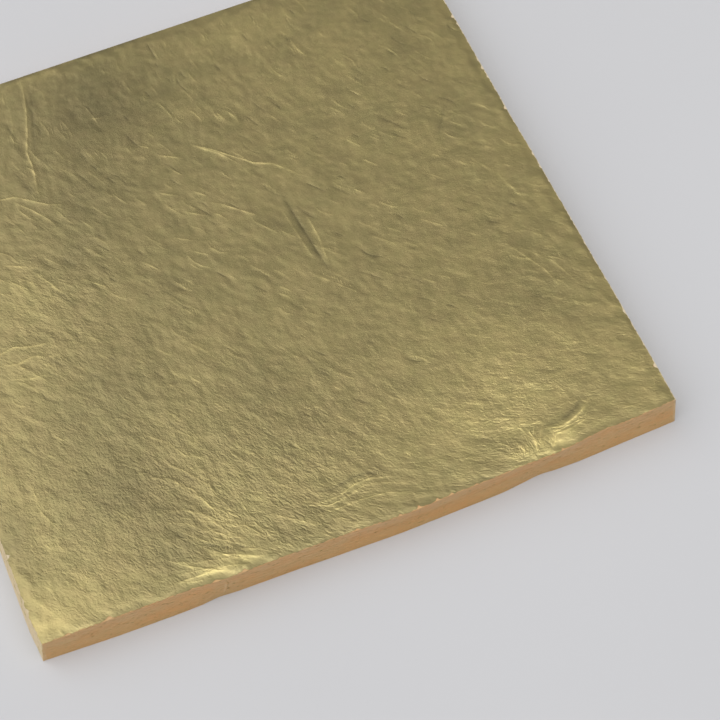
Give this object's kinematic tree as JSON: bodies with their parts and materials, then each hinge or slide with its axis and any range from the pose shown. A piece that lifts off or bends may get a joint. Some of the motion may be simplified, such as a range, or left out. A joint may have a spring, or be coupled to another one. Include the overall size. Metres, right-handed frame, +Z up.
{
  "type": "gold leaf booklet",
  "caption": "Square gummed pad of crinkled gold-coloured metal leaf interleaved with orange-brown tissue, top leaf bare; opens in the middle and page by page.",
  "frame": {"origin": "centre of the footprint, on the underside of the lowest tissue", "axes": "+X along the front edge to the right, +Y from the front edge to the gummed back edge, +Z up out of the bare top leaf"},
  "size_m": [0.109, 0.1104, 0.006],
  "materials": {
    "gold_leaf": "satin",
    "tissue": "matte",
    "gum": "satin"
  },
  "bodies": {
    "lower_block": {"gold_leaf_lower_01": "gold_leaf", "gold_leaf_lower_02": "gold_leaf", "gold_leaf_lower_03": "gold_leaf", "gold_leaf_lower_04": "gold_leaf", "gold_leaf_lower_05": "gold_leaf", "gold_leaf_lower_06": "gold_leaf", "gold_leaf_lower_07": "gold_leaf", "gold_leaf_lower_08": "gold_leaf", "gold_leaf_lower_09": "gold_leaf", "gold_leaf_lower_10": "gold_leaf", "gold_leaf_lower_11": "gold_leaf", "gold_leaf_lower_12": "gold_leaf", "gum_lower": "gum", "tissue_lower_01": "tissue", "tissue_lower_02": "tissue", "tissue_lower_03": "tissue", "tissue_lower_04": "tissue", "tissue_lower_05": "tissue", "tissue_lower_06": "tissue", "tissue_lower_07": "tissue", "tissue_lower_08": "tissue", "tissue_lower_09": "tissue", "tissue_lower_10": "tissue", "tissue_lower_11": "tissue", "tissue_lower_12": "tissue"},
    "upper_block": {"gold_leaf_upper_01": "gold_leaf", "gold_leaf_upper_02": "gold_leaf", "gold_leaf_upper_03": "gold_leaf", "gold_leaf_upper_04": "gold_leaf", "gold_leaf_upper_05": "gold_leaf", "gold_leaf_upper_06": "gold_leaf", "gold_leaf_upper_07": "gold_leaf", "gold_leaf_upper_08": "gold_leaf", "gold_leaf_upper_09": "gold_leaf", "gold_leaf_upper_10": "gold_leaf", "gold_leaf_upper_11": "gold_leaf", "gold_leaf_upper_12": "gold_leaf", "gold_leaf_upper_13": "gold_leaf", "gum_upper": "gum", "tissue_upper_01": "tissue", "tissue_upper_02": "tissue", "tissue_upper_03": "tissue", "tissue_upper_04": "tissue", "tissue_upper_05": "tissue", "tissue_upper_06": "tissue", "tissue_upper_07": "tissue", "tissue_upper_08": "tissue", "tissue_upper_09": "tissue", "tissue_upper_10": "tissue", "tissue_upper_11": "tissue", "tissue_upper_12": "tissue", "tissue_upper_13": "tissue"},
    "second_page": {"gold_leaf_second_page": "gold_leaf", "gum_second_page": "gum", "tissue_second_page": "tissue"},
    "top_page": {"gum_top_page": "gum", "tissue_top_page": "tissue"},
    "top_leaf": {"gold_leaf_top_page": "gold_leaf"}
  },
  "joints": [
    {"name": "middle_opening", "type": "hinge", "parent": "lower_block", "child": "upper_block", "pos_m": [0, 0.05523, 0.00288], "axis": [-1, 0, 0], "range_deg": [0, 180]},
    {"name": "second_page_turn", "type": "hinge", "parent": "upper_block", "child": "second_page", "pos_m": [0, 0.05523, 0.00588], "axis": [-1, 0, 0], "range_deg": [0, 180]},
    {"name": "top_page_turn", "type": "hinge", "parent": "second_page", "child": "top_page", "pos_m": [0, 0.05523, 0.00588], "axis": [-1, 0, 0], "range_deg": [0, 180]},
    {"name": "top_leaf_lift", "type": "slide", "parent": "top_page", "child": "top_leaf", "axis": [0, 0, 1], "range_m": [0, 0.03]}
  ]
}
